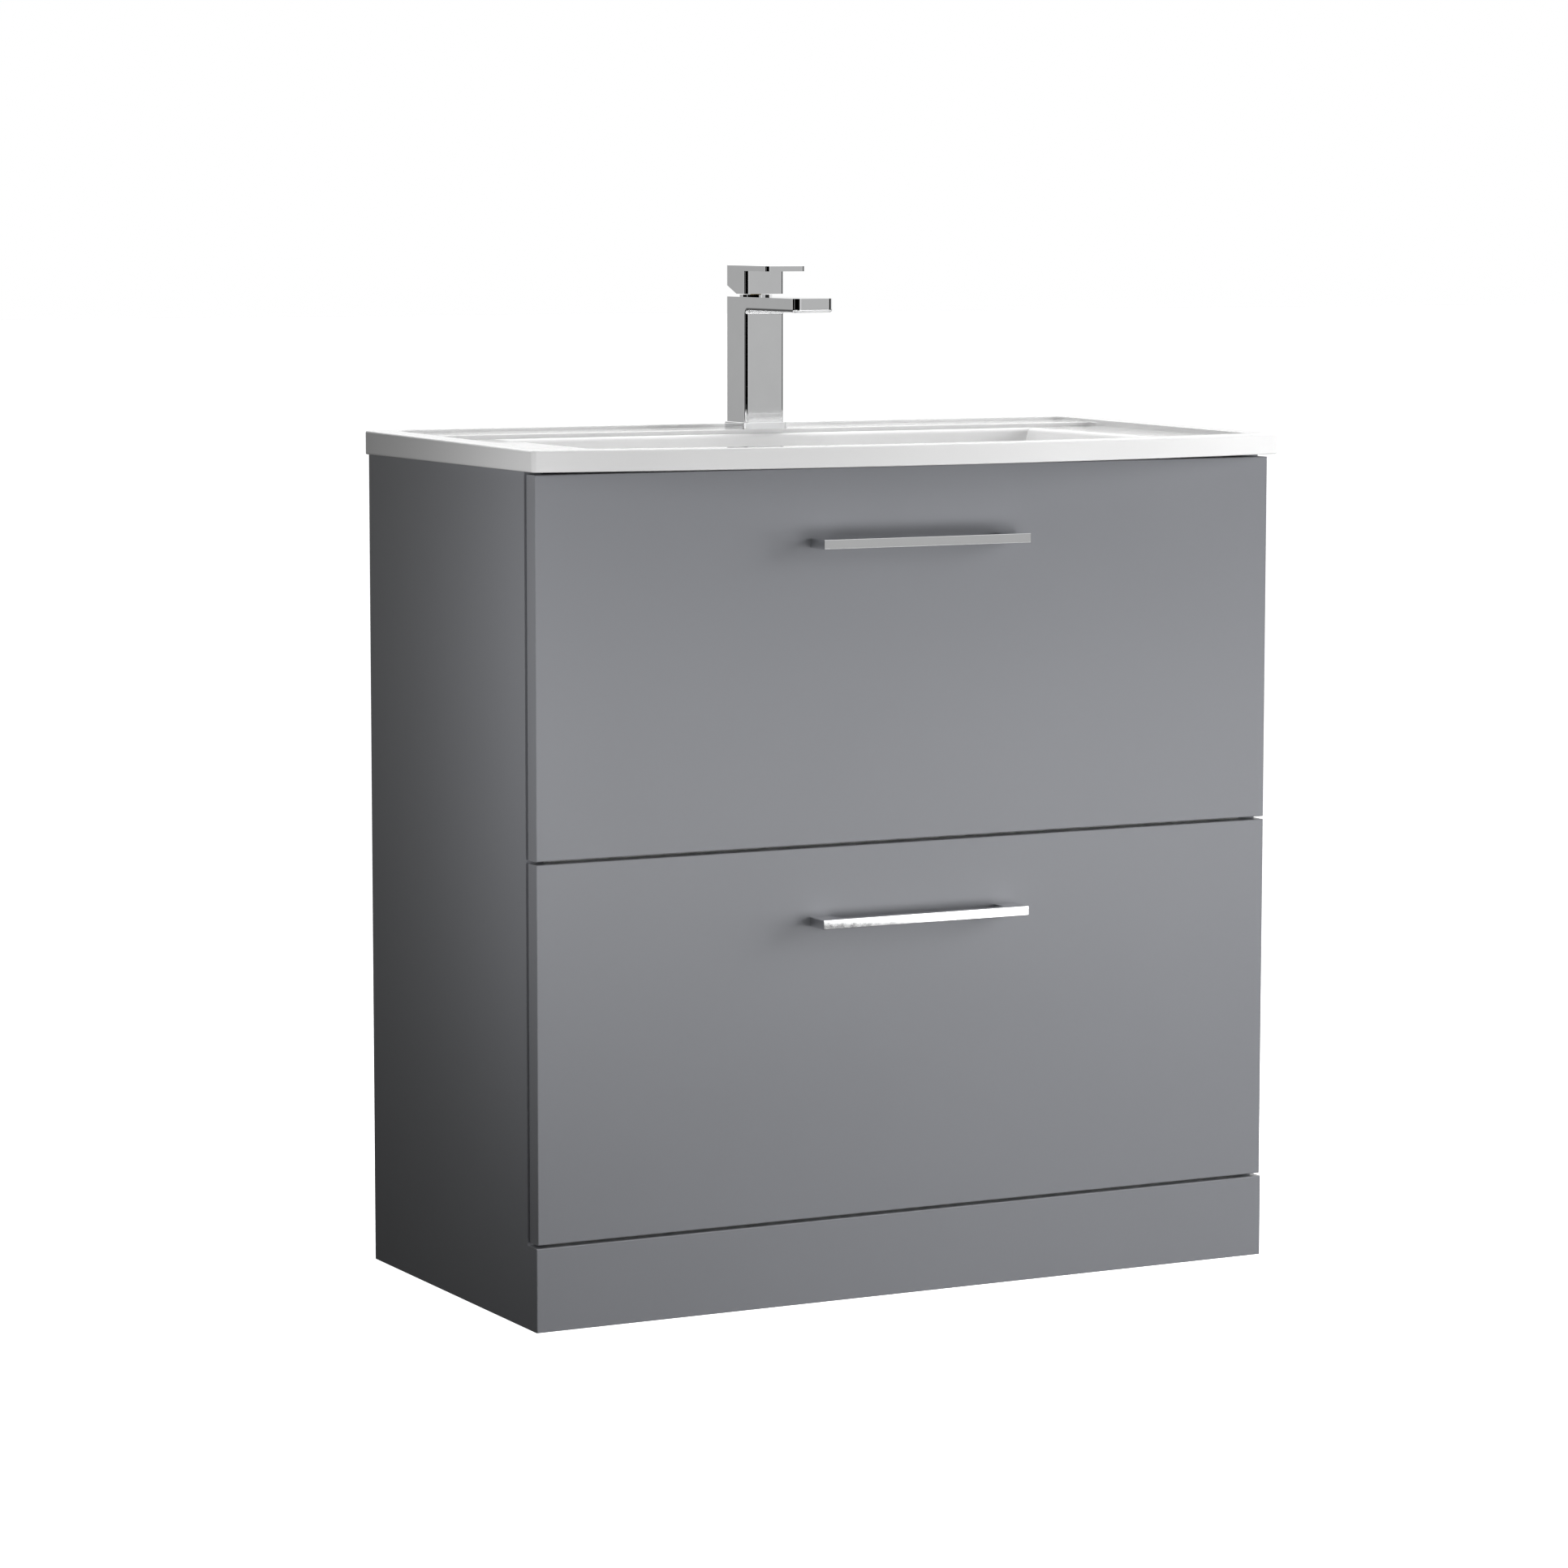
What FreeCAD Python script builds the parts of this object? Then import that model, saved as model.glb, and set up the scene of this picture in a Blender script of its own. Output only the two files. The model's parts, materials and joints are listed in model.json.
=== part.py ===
import FreeCAD, Part
import math
import os
import re
import Sketcher
from FreeCAD import Placement, Rotation, Vector

# Floor-standing bathroom vanity: two-drawer cabinet, ceramic basin and square lever mixer.
#
# Frame: millimetres, +Z up, -Y towards the person using it, the wall is y = +overall_depth / 2.
# The origin is on the floor, under the centre of the overall box. Sizes that name a place in y
# (such as tap_front or bowl_back) are measured from the plane of the drawers' faces.

DIMENSIONS = {
    # whole unit
    "overall_depth": 440, "bow_reach": 54, "cabinet_width": 800, "cabinet_height": 805,
    "panel_thick": 18, "plinth_height": 80, "plinth_thick": 20, "reveal": 3, "service_depth": 60,
    "rail_height": 100, "mid_rail_depth": 60, "mid_rail_base": 432,
    # drawer fronts and handles
    "front_width": 797, "front_height": 358, "front_thick": 18, "front_gap": 2, "edge_round": 1,
    "handle_length": 224.6, "handle_height": 9, "handle_reach": 28.5, "handle_bar": 8,
    "handle_leg": 23, "handle_drop": 70.5, "handle_pitch": 200, "handle_edge": 0.4,
    "screw_radius": 2, "screw_head_radius": 4, "screw_head": 2.4, "screw_clearance": 0.25,
    "handle_thread": 14, "handle_screw_gap": 1, "bumper_radius": 4, "bumper_thick": 1.8,
    # drawer boxes
    "box_width": 738.6, "box_length": 310, "box_board": 15, "box_lift": 18, "upper_box_height": 150,
    "lower_box_height": 210, "base_thick": 8, "base_rise": 8, "groove": 6, "pipe_width": 196,
    "pipe_depth": 216, "pipe_wall": 3, "pipe_corner": 30, "front_screw_inset": 60, "front_screw_rise": 30,
    "front_screw_length": 26,
    # drawer runners
    "runner_length": 300, "runner_setback": 4, "runner_rise": 45, "runner_sheet": 1.2,
    "outer_half": 22.5, "outer_deep": 10.8, "middle_half": 17.1, "middle_start": 1.9,
    "middle_end": 10.4, "inner_half": 11.7, "inner_start": 3.9, "inner_end": 12.7,
    "ball_radius": 2, "ball_pitch": 25, "cage_thick": 0.8, "cage_width": 5, "cage_length": 120,
    "ball_line": 7,
    # panel fittings
    "cam_radius": 7.5, "cam_height": 12.5, "cam_inset": 34, "cam_bolt_radius": 3,
    "cam_bolt_into_side": 10, "cam_play": 0.1, "bracket_leg": 30, "bracket_sheet": 2,
    "bracket_width": 40, "bracket_base": 640, "wall_hole_radius": 3.5, "plinth_bracket_base": 20,
    "small_screw_radius": 1.75, "small_screw_head": 3.5, "small_screw_cap": 2,
    "small_screw_length": 13,
    # basin
    "basin_width": 810, "basin_edge": 20, "corner_reach": 10, "basin_corner": 5, "rim_round": 2.5,
    "under_round": 1.5, "step_round": 0.9, "rim_side": 25, "rim_back": 14, "rim_front": 20, "rim_rise": 3.7,
    "ledge_drop": 3.5, "dish_drop": 4, "ledge_depth": 79, "plan_corner": 12, "bowl_half": 300, "bowl_front": 25,
    "bowl_back": 300, "bowl_corner": 45, "floor_half": 252, "floor_front": 82, "floor_back": 268,
    "floor_level": 713, "basin_wall": 10, "shell_overlap": 6, "floor_round": 24, "lip_round": 6,
    "waste_y": 175, "waste_hole": 23, "waste_boss": 34, "boss_level": 668, "seat_radius": 33,
    "seat_drop": 3, "duct_width": 52, "duct_back": 318, "duct_base": 674, "duct_top": 792,
    "passage_width": 30, "passage_front": 299, "passage_back": 310, "passage_base": 682,
    "passage_height": 14,
    "overflow_level": 783, "overflow_radius": 11, "ring_radius": 14, "ring_bore": 9,
    "ring_thick": 2,
    # basin waste
    "flange_radius": 31, "flange_thick": 2.5, "seal_thick": 1, "tail_radius": 20.95,
    "tail_bore": 16, "tail_end": 622, "tail_length": 28, "tail_groove": 2, "groove_depth": 1,
    "nut_radius": 30, "nut_height": 12, "waste_slot": 6, "waste_slot_rise": 2,
    "plug_radius": 29, "plug_thick": 3, "stem_radius": 3, "stem_length": 26, "hub_radius": 6,
    "hub_play": 0.1, "spider_level": 694, "spider_height": 4,
    # tap
    "tap_front": 311, "tap_width": 44, "tap_depth": 41, "tap_height": 132, "spout_reach": 107,
    "spout_height": 14, "tap_round": 3.5, "spout_corner": 7, "tap_edge": 0.6, "skirt_rim": 3,
    "skirt_height": 6.6, "skirt_play": 0.1, "seal_inset": 0.5, "tap_hole": 17.5, "chamber_radius": 17,
    "chamber_base": 89, "chamber_top": 126, "nut_bore": 11, "nut_thread": 15, "neck_radius": 16.5,
    "neck_height": 2.2, "lever_gap": 3, "lever_block": 23, "lever_plate": 6, "lever_length": 87,
    "lever_relief": 8.2, "lever_corner": 4, "lever_edge": 1, "cartridge_radius": 13,
    "cartridge_height": 30, "carrier_radius": 9, "carrier_base": 113, "carrier_play": 0.1,
    "carrier_top": 133.6, "pivot_height": 129, "pin_radius": 1.5, "spindle": 8,
    "spindle_base": 123, "spindle_top": 151, "spindle_slot": 8.4, "grub_radius": 2.5,
    "grub_length": 8, "grub_rise": 149, "waterway": 4, "inlet_radius": 4.5, "inlet_half_pitch": 8,
    "inlet_forward": 5, "outlet_rise": 125, "outlet_radius": 3.5, "aerator_radius": 10,
    "aerator_height": 9, "aerator_inset": 14, "jet_ring": 5.5, "jet_radius": 1.4,
    "stud_radius": 4, "stud_back": 9, "stud_base": 762,
    "stud_in_body": 14, "clamp_radius": 22, "clamp_thick": 2.5, "clamp_slot": 30,
    "clamp_slot_back": 3, "clamp_nut_radius": 7.5, "clamp_nut_height": 6.5,
}

doc = FreeCAD.newDocument("vanity")
sheet = doc.addObject("Spreadsheet::Sheet", "Dims")
for row, (alias, size) in enumerate(DIMENSIONS.items(), start=1):
    sheet.set(f"A{row}", alias)
    sheet.set(f"B{row}", str(size))
    sheet.setAlias(f"B{row}", alias)
doc.recompute()

# Planes and levels that many pieces share, as formulas of the sheet's cells.
FACE = "(bow_reach - overall_depth / 2)"
CASE = f"({FACE} + front_thick + front_gap)"
WALL = "(overall_depth / 2)"
INNER = "(cabinet_width / 2 - panel_thick)"
CLEAR_WIDTH = "(cabinet_width - 2 * panel_thick)"
CASE_DEPTH = "(overall_depth - bow_reach - front_thick - front_gap)"
LOWER_FRONT = "(plinth_height + reveal)"
UPPER_FRONT = "(plinth_height + 2 * reveal + front_height)"
BASIN_TOP = "(cabinet_height + basin_edge)"
DECK = f"({BASIN_TOP} + rim_rise - ledge_drop)"
TAP_TOP = f"({DECK} + tap_height)"
TAP_Y = f"({FACE} + tap_front + tap_depth / 2)"
WASTE_Y = f"({FACE} + waste_y)"
UPPER_BOX = f"({UPPER_FRONT} + box_lift)"
LOWER_BOX = "(plinth_height + panel_thick + base_thick)"
WALL_HOLE_Z = "(bracket_base + bracket_width / 2)"
BOW_RADIUS = "(((basin_width / 2)^2 + (bow_reach - corner_reach)^2) / (2 * (bow_reach - corner_reach)))"

AXES = {
    "x": Rotation(Vector(0, 1, 0), 90),
    "y": Rotation(Vector(1, 0, 0), -90),
    "z": Rotation(),
}
nodes = []


def cell(formula):
    """The formula with each alias written as a reference to the sheet."""
    return re.sub(
        r"[a-z_]+", lambda word: f"Dims.{word[0]}" if word[0] in DIMENSIONS else word[0], str(formula)
    )


def number(formula):
    """The formula's present value."""
    value = sheet.evalExpression(cell(formula))
    return float(getattr(value, "Value", value))


def bind(thing, **formulas):
    for name, formula in formulas.items():
        thing.setExpression(name, cell(formula))


def locate(thing, corner, rotation=Rotation()):
    """Turns the object, then ties its position to three formulas."""
    thing.Placement = Placement(Vector(), rotation)
    for axis, formula in zip("xyz", corner):
        thing.setExpression(f"Placement.Base.{axis}", cell(formula))


def node(thing, name):
    """Marks an object as a sub-part that is written out."""
    thing.Label = name
    nodes.append(thing)
    return thing


# Part primitives and booleans


def box(size, corner):
    solid = doc.addObject("Part::Box", "Block")
    bind(solid, Length=size[0], Width=size[1], Height=size[2])
    locate(solid, corner)
    return solid


def rod(radius, length, start, axis="z"):
    solid = doc.addObject("Part::Cylinder", "Rod")
    bind(solid, Radius=radius, Height=length)
    locate(solid, start, AXES[axis])
    return solid


def group(pieces):
    whole = doc.addObject("Part::Compound", "Group")
    whole.Links = pieces
    return whole


def fuse(pieces):
    whole = doc.addObject("Part::MultiFuse", "Union")
    whole.Shapes = pieces
    whole.Refine = True
    return whole


def cut(base, tools):
    result = doc.addObject("Part::Cut", "Cut")
    result.Base = base
    result.Tool = tools[0] if len(tools) == 1 else group(tools)
    return result


def tube(outer, inner, length, start, axis="z"):
    return cut(rod(outer, length, start, axis), [rod(inner, length, start, axis)])


# PartDesign features


def new_body(name):
    return node(doc.addObject("PartDesign::Body", "Body"), name)


def body_block(body, size, corner, kind="Additive"):
    feature = body.newObject(f"PartDesign::{kind}Box", "Block")
    bind(feature, Length=size[0], Width=size[1], Height=size[2])
    locate(feature, corner)
    return feature


def body_rod(body, radius, length, start, axis="z", kind="Subtractive"):
    feature = body.newObject(f"PartDesign::{kind}Cylinder", "Rod")
    bind(feature, Radius=radius, Height=length)
    locate(feature, start, AXES[axis])
    return feature


def round_edges(body, radius, chosen):
    """Rounds the edges of the body's last feature that the test accepts."""
    doc.recompute()
    base = body.Tip
    names = [f"Edge{i}" for i, edge in enumerate(base.Shape.Edges, start=1) if chosen(edge)]
    if not names:
        raise RuntimeError(f"no edge to round in {body.Label}")
    feature = body.newObject("PartDesign::Fillet", "Round")
    feature.Base = (base, names)
    bind(feature, Radius=radius)
    return feature


def spans(edge, axis):
    """True if the edge runs along this axis only."""
    lengths = {"x": edge.BoundBox.XLength, "y": edge.BoundBox.YLength, "z": edge.BoundBox.ZLength}
    return lengths.pop(axis) > 1e-4 and max(lengths.values()) < 1e-4


def at(value, formula, slack=0.01):
    return abs(value - number(formula)) < slack


def flat_at(edge, axis, formula):
    """True if the whole edge lies in the plane where this axis has this value."""
    low, high = {
        "x": (edge.BoundBox.XMin, edge.BoundBox.XMax),
        "y": (edge.BoundBox.YMin, edge.BoundBox.YMax),
        "z": (edge.BoundBox.ZMin, edge.BoundBox.ZMax),
    }[axis]
    return at(low, formula) and at(high, formula)


def origin_plane(body, role):
    return next(item for item in body.Origin.OriginFeatures if item.Role == role)


def new_sketch(body, height, name):
    """A level sketch at this height."""
    sketch = body.newObject("Sketcher::SketchObject", name)
    sketch.AttachmentSupport = [(origin_plane(body, "XY_Plane"), "")]
    sketch.MapMode = "FlatFace"
    sketch.setExpression("AttachmentOffset.Base.z", cell(height))
    return sketch


def side_sketch(body, name):
    """A sketch in the middle plane, which runs from front to back: its axes are y and z."""
    sketch = body.newObject("Sketcher::SketchObject", name)
    sketch.AttachmentSupport = [(origin_plane(body, "YZ_Plane"), "")]
    sketch.MapMode = "FlatFace"
    return sketch


def dimension(sketch, kind, places, formula):
    """A dimension constraint whose value is tied to the sheet."""
    index = sketch.addConstraint(Sketcher.Constraint(kind, *places, number(formula)))
    sketch.setExpression(f"Constraints[{index}]", cell(formula))


def join(sketch, kind, pairs):
    for first, second in pairs:
        sketch.addConstraint(Sketcher.Constraint(kind, first, END, second, START))


START, END, CENTRE = 1, 2, 3
ORIGIN = (-1, START)
Y_AXIS = -2


def rounded_rectangle(sketch, half, low, high, radius):
    """A rectangle with round corners, symmetrical about x = 0, from y = low to y = high."""
    x, y_low, y_high, r = (number(formula) for formula in (half, low, high, radius))
    centres = [(x - r, y_high - r), (r - x, y_high - r), (r - x, y_low + r), (x - r, y_low + r)]
    arcs = [
        Part.ArcOfCircle(
            Part.Circle(Vector(*centre, 0), Vector(0, 0, 1), r), turn * math.pi / 2, (turn + 1) * math.pi / 2
        )
        for turn, centre in enumerate(centres)
    ]
    for arc, following in zip(arcs, arcs[1:] + arcs[:1]):
        sketch.addGeometry(arc)
        sketch.addGeometry(Part.LineSegment(arc.EndPoint, following.StartPoint))
    top, left, bottom, right = 1, 3, 5, 7
    join(sketch, "Tangent", [(i, (i + 1) % 8) for i in range(8)])
    for line in (top, bottom):
        sketch.addConstraint(Sketcher.Constraint("Horizontal", line))
    for line in (left, right):
        sketch.addConstraint(Sketcher.Constraint("Vertical", line))
    for arc in (2, 4, 6):
        sketch.addConstraint(Sketcher.Constraint("Equal", 0, arc))
    dimension(sketch, "Radius", (0,), radius)
    dimension(sketch, "DistanceX", (*ORIGIN, right, START), half)
    dimension(sketch, "DistanceX", (left, START, *ORIGIN), half)
    dimension(sketch, "DistanceY", (*ORIGIN, top, START), high)
    dimension(sketch, "DistanceY", (*ORIGIN, bottom, START), low)


def bowed_outline(sketch, half, back, inset):
    """A rectangle whose front side is an arc, parallel to the basin's front edge at this inset."""
    radius = f"({BOW_RADIUS} - {inset})"
    centre = f"({BOW_RADIUS} - overall_depth / 2)"
    x, y_back, r, y_centre = (number(formula) for formula in (half, back, radius, centre))
    spread = math.asin(x / r)
    front = Part.ArcOfCircle(
        Part.Circle(Vector(0, y_centre, 0), Vector(0, 0, 1), r), -math.pi / 2 - spread, -math.pi / 2 + spread
    )
    right_back = Vector(x, y_back, 0)
    left_back = Vector(-x, y_back, 0)
    sketch.addGeometry(front)
    sketch.addGeometry(Part.LineSegment(front.EndPoint, right_back))
    sketch.addGeometry(Part.LineSegment(right_back, left_back))
    sketch.addGeometry(Part.LineSegment(left_back, front.StartPoint))
    arc, right, rear, left = range(4)
    join(sketch, "Coincident", [(arc, right), (right, rear), (rear, left), (left, arc)])
    for line in (left, right):
        sketch.addConstraint(Sketcher.Constraint("Vertical", line))
    sketch.addConstraint(Sketcher.Constraint("Horizontal", rear))
    sketch.addConstraint(Sketcher.Constraint("PointOnObject", arc, CENTRE, Y_AXIS))
    dimension(sketch, "Radius", (arc,), radius)
    dimension(sketch, "DistanceY", (*ORIGIN, arc, CENTRE), centre)
    dimension(sketch, "DistanceX", (*ORIGIN, right, END), half)
    dimension(sketch, "DistanceX", (left, START, *ORIGIN), half)
    dimension(sketch, "DistanceY", (*ORIGIN, rear, START), back)


def profile(sketch, corners):
    """A closed outline of straight sides along the sketch's axes, but for its last side.

    Each corner is a pair of formulas, and one side in two changes only one of them.
    """
    points = [Vector(number(across), number(up), 0) for across, up in corners]
    count = len(points)
    for start, finish in zip(points, points[1:] + points[:1]):
        sketch.addGeometry(Part.LineSegment(start, finish))
    join(sketch, "Coincident", [(i, (i + 1) % count) for i in range(count)])
    for i, (across, up) in enumerate(corners):
        if across != corners[i - 1][0]:
            dimension(sketch, "DistanceX", (*ORIGIN, i, START), across)
        else:
            sketch.addConstraint(Sketcher.Constraint("Vertical", (i - 1) % count))
        if up != corners[i - 1][1]:
            dimension(sketch, "DistanceY", (*ORIGIN, i, START), up)
        else:
            sketch.addConstraint(Sketcher.Constraint("Horizontal", (i - 1) % count))


def pad(body, sketch, length):
    feature = body.newObject("PartDesign::Pad", "Pad")
    feature.Profile = sketch
    bind(feature, Length=length)
    return feature


def pocket(body, sketch, depth):
    """Cuts downwards from the sketch's plane."""
    feature = body.newObject("PartDesign::Pocket", "Pocket")
    feature.Profile = sketch
    bind(feature, Length=depth)
    return feature


def shifted(point, axis, amount):
    """The point moved along one axis by a formula."""
    return tuple(f"{value} + {amount}" if name == axis else value for name, value in zip("xyz", point))


def screw(shank, head, cap, length, seat, axis, into):
    """A pan-head screw: its head sits at the seat, and its shank points into +axis or -axis."""
    if into > 0:
        shank_start = seat
        head_start = shifted(seat, axis, f"(-{cap})")
    else:
        shank_start = shifted(seat, axis, f"(-{length})")
        head_start = seat
    return fuse([rod(shank, length, shank_start, axis), rod(head, cap, head_start, axis)])


def small_screw(seat, axis, into, length="small_screw_length"):
    return screw("small_screw_radius", "small_screw_head", "small_screw_cap", length, seat, axis, into)


def small_screw_hole(seat, axis, into, length="small_screw_length"):
    start = seat if into > 0 else shifted(seat, axis, f"(-{length})")
    return rod("small_screw_radius + cam_play / 2", length, start, axis)


# Cabinet


def cam_places():
    """The middle of each board's end where a cam fitting holds it: y, z and the disc's axis."""
    flat_mid = "panel_thick / 2"
    bottom = f"plinth_height + {flat_mid}"
    rail_y = f"{WALL} - {flat_mid}"
    floor_end = f"{WALL} - service_depth - bracket_leg"
    return {
        "bottom": [(f"{CASE} + bracket_leg", bottom, "z"), (floor_end, bottom, "z")],
        "mid": [(f"{CASE} + mid_rail_depth / 2", f"mid_rail_base + {flat_mid}", "z")],
        "top": [(rail_y, "cabinet_height - rail_height / 2", "y")],
        "foot": [(rail_y, "plinth_height + rail_height / 2", "y")],
    }


def cam_disc(side, place, play="0"):
    y, z, axis = place
    x = f"{side} * ({INNER} - cam_inset)"
    start = shifted((x, y, z), axis, "(-panel_thick / 2)")
    return rod(f"cam_radius + {play}", "cam_height", start, axis)


def cam_bolt(side, place):
    near = "cam_inset - cam_radius - cam_play"
    return bolt_rod(side, place, "cam_bolt_radius", near)


def cam_bolt_hole(side, place):
    """The hole's inner end is at the middle of the disc's pocket."""
    return bolt_rod(side, place, "cam_bolt_radius + cam_play", "cam_inset")


def bolt_rod(side, place, radius, inwards):
    """A level rod that starts this far inwards of a side panel and ends inside the panel."""
    y, z, _ = place
    near = f"({INNER} - ({inwards}))"
    far = f"({INNER} + cam_bolt_into_side)"
    start = near if side > 0 else f"-{far}"
    return rod(radius, f"{far} - {near}", (start, y, z), "x")


def drilled(board, places):
    """The board with the pockets of its cam fittings."""
    tools = []
    for side in (-1, 1):
        for place in places:
            tools += [cam_disc(side, place, "cam_play"), cam_bolt_hole(side, place)]
    return cut(board, tools)


def make_side_panel(name, side):
    inner_face = f"{side} * {INNER}"
    corner_x = INNER if side > 0 else "-cabinet_width / 2"
    board = box(("panel_thick", CASE_DEPTH, "cabinet_height"), (corner_x, CASE, "0"))
    tools = [cam_bolt_hole(side, place) for places in cam_places().values() for place in places]
    for seat in side_screw_seats(side):
        tools.append(small_screw_hole((inner_face, *seat[1:]), "x", side))
    node(cut(board, tools), name)


def make_panels():
    places = cam_places()
    bottom = box(
        (CLEAR_WIDTH, f"{CASE_DEPTH} - service_depth", "panel_thick"), (f"-{INNER}", CASE, "plinth_height")
    )
    node(drilled(bottom, places["bottom"]), "bottom_panel")
    mid = box((CLEAR_WIDTH, "mid_rail_depth", "panel_thick"), (f"-{INNER}", CASE, "mid_rail_base"))
    node(drilled(mid, places["mid"]), "front_mid_rail")
    rail_size = (CLEAR_WIDTH, "panel_thick", "rail_height")
    rail_y = f"{WALL} - panel_thick"
    top = box(rail_size, (f"-{INNER}", rail_y, "cabinet_height - rail_height"))
    node(drilled(top, places["top"]), "rear_top_rail")
    foot = box(rail_size, (f"-{INNER}", rail_y, "plinth_height"))
    node(drilled(foot, places["foot"]), "rear_bottom_rail")


def make_cam_fittings():
    places = [place for group_places in cam_places().values() for place in group_places]
    node(group([cam_disc(side, place) for side in (-1, 1) for place in places]), "cam_discs")
    node(group([cam_bolt(side, place) for side in (-1, 1) for place in places]), "cam_bolts")


def make_plinth():
    body = new_body("plinth_board")
    body_block(
        body, ("cabinet_width", "plinth_thick", "plinth_height"), ("-cabinet_width / 2", FACE, "0")
    )
    round_edges(body, "edge_round", lambda e: flat_at(e, "y", FACE) and not flat_at(e, "z", "0"))
    for side in (-1, 1):
        x, y, z = plinth_screw_seat(side)
        hole_start = shifted((x, y, z), "y", "(-bracket_sheet - small_screw_length)")
        body_rod(body, "small_screw_radius + cam_play / 2", "small_screw_length", hole_start, "y")


def side_screw_seats(side):
    """Where small screws go through the brackets' legs into a side panel."""
    x = f"{side} * ({INNER} - bracket_sheet)"
    wall_y = f"{WALL} - bracket_leg * 2 / 3"
    lower = "bracket_base + bracket_width / 4"
    upper = "bracket_base + bracket_width * 3 / 4"
    plinth = (x, f"{CASE} + bracket_leg * 2 / 3", "plinth_bracket_base + bracket_width / 2")
    return [(x, wall_y, lower), (x, wall_y, upper), plinth]


def plinth_screw_seat(side):
    x = f"{side} * ({INNER} - bracket_leg * 2 / 3)"
    return (x, f"{CASE} + bracket_sheet", "plinth_bracket_base + bracket_width / 2")


def angle_bracket(side, sheet_y, leg_y, base, holes):
    """Two legs at a right angle: one on the side panel, one in the plane that starts at sheet_y."""
    side_x = inboard(side, "0", "bracket_sheet")
    face_x = inboard(side, "0", "bracket_leg")
    side_leg = box(("bracket_sheet", "bracket_leg", "bracket_width"), (side_x, leg_y, base))
    face_leg = box(("bracket_leg", "bracket_sheet", "bracket_width"), (face_x, sheet_y, base))
    return cut(fuse([side_leg, face_leg]), holes)


def inboard(side, start, end):
    """The lower x of a piece that reaches from start to end, measured inwards from a side panel."""
    return f"{INNER} - {end}" if side > 0 else f"-{INNER} + {start}"


def make_brackets():
    wall_brackets = []
    plinth_brackets = []
    screws = []
    for side in (-1, 1):
        seats = side_screw_seats(side)
        holes = [small_screw_hole(shifted(seat, "x", f"(-{side} * bracket_sheet)"), "x", side)
                 for seat in seats]
        wall_x = f"{side} * ({INNER} - bracket_leg / 2)"
        wall_hole = rod(
            "wall_hole_radius", "bracket_sheet", (wall_x, f"{WALL} - bracket_sheet", WALL_HOLE_Z), "y"
        )
        wall_brackets.append(
            angle_bracket(side, f"{WALL} - bracket_sheet", f"{WALL} - bracket_leg", "bracket_base",
                          [*holes[:2], wall_hole])
        )
        front_seat = plinth_screw_seat(side)
        front_hole = small_screw_hole(shifted(front_seat, "y", "bracket_sheet"), "y", -1)
        plinth_brackets.append(
            angle_bracket(side, CASE, CASE, "plinth_bracket_base", [holes[2], front_hole])
        )
        screws += [small_screw(seat, "x", side) for seat in seats]
        screws.append(small_screw(front_seat, "y", -1))
    node(group(wall_brackets), "wall_brackets")
    node(group(plinth_brackets), "plinth_brackets")
    node(group(screws), "bracket_screws")


def make_bumpers():
    """Soft stops on the side panels' front edges, two beside each drawer front's height."""
    x_mid = f"({INNER} + panel_thick / 2)"
    inset = "bumper_radius * 3"
    levels = [f"{base} + {offset}" for base in (LOWER_FRONT, UPPER_FRONT)
              for offset in (inset, f"front_height - {inset}")]
    stops = [
        rod("bumper_radius", "bumper_thick", (f"{side} * {x_mid}", f"{CASE} - bumper_thick", level), "y")
        for side in (-1, 1) for level in levels
    ]
    node(group(stops), "front_bumpers")


# Drawers


def front_screw_seats(box_base, box_height):
    """Where the screws that hold the drawer front pass through the inner front board."""
    x = "(box_width / 2 - front_screw_inset)"
    back_face = f"{FACE} + front_thick + box_board"
    low = f"{box_base} + front_screw_rise"
    high = f"{box_base} + {box_height} - front_screw_rise"
    return [(f"{side} * {x}", back_face, level) for side in (-1, 1) for level in (low, high)]


def make_drawer_front(name, front_base, box_base, box_height):
    body = new_body(name)
    body_block(
        body, ("front_width", "front_thick", "front_height"), ("-front_width / 2", FACE, front_base)
    )
    round_edges(body, "edge_round", lambda edge: flat_at(edge, "y", FACE))
    handle_z = f"{front_base} + front_height - handle_drop"
    for side in (-1, 1):
        start = (f"{side} * handle_pitch / 2", FACE, handle_z)
        body_rod(body, "screw_radius + screw_clearance", "front_thick", start, "y")
    for seat in front_screw_seats(box_base, box_height):
        start = shifted(seat, "y", "(-front_screw_length)")
        depth = "front_screw_length - box_board"
        body_rod(body, "small_screw_radius + cam_play / 2", depth, start, "y")


def make_handle(name, front_base):
    """A flat bar bent to a D, cut from one piece, with a tapped hole in each leg."""
    body = new_body(name)
    base_z = f"{front_base} + front_height - handle_drop - handle_height / 2"
    outer = ("handle_length", "handle_reach", "handle_height")
    body_block(body, outer, ("-handle_length / 2", f"{FACE} - handle_reach", base_z))
    gap = ("handle_length - 2 * handle_leg", "handle_reach - handle_bar", "handle_height")
    gap_x = "handle_leg - handle_length / 2"
    body_block(body, gap, (gap_x, f"{FACE} - handle_reach + handle_bar", base_z), "Subtractive")
    round_edges(body, "handle_edge", lambda edge: not flat_at(edge, "y", FACE))
    for side in (-1, 1):
        start = (f"{side} * handle_pitch / 2", f"{FACE} - handle_thread", f"{base_z} + handle_height / 2")
        body_rod(body, "screw_radius + cam_play / 2", "handle_thread", start, "y")


def make_handle_screws(name, front_base):
    z = f"{front_base} + front_height - handle_drop"
    seats = [(f"{side} * handle_pitch / 2", f"{FACE} + front_thick", z) for side in (-1, 1)]
    length = "(front_thick + handle_thread - handle_screw_gap)"
    screws = [screw("screw_radius", "screw_head_radius", "screw_head", length, seat, "y", -1)
              for seat in seats]
    node(group(screws), name)


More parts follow.
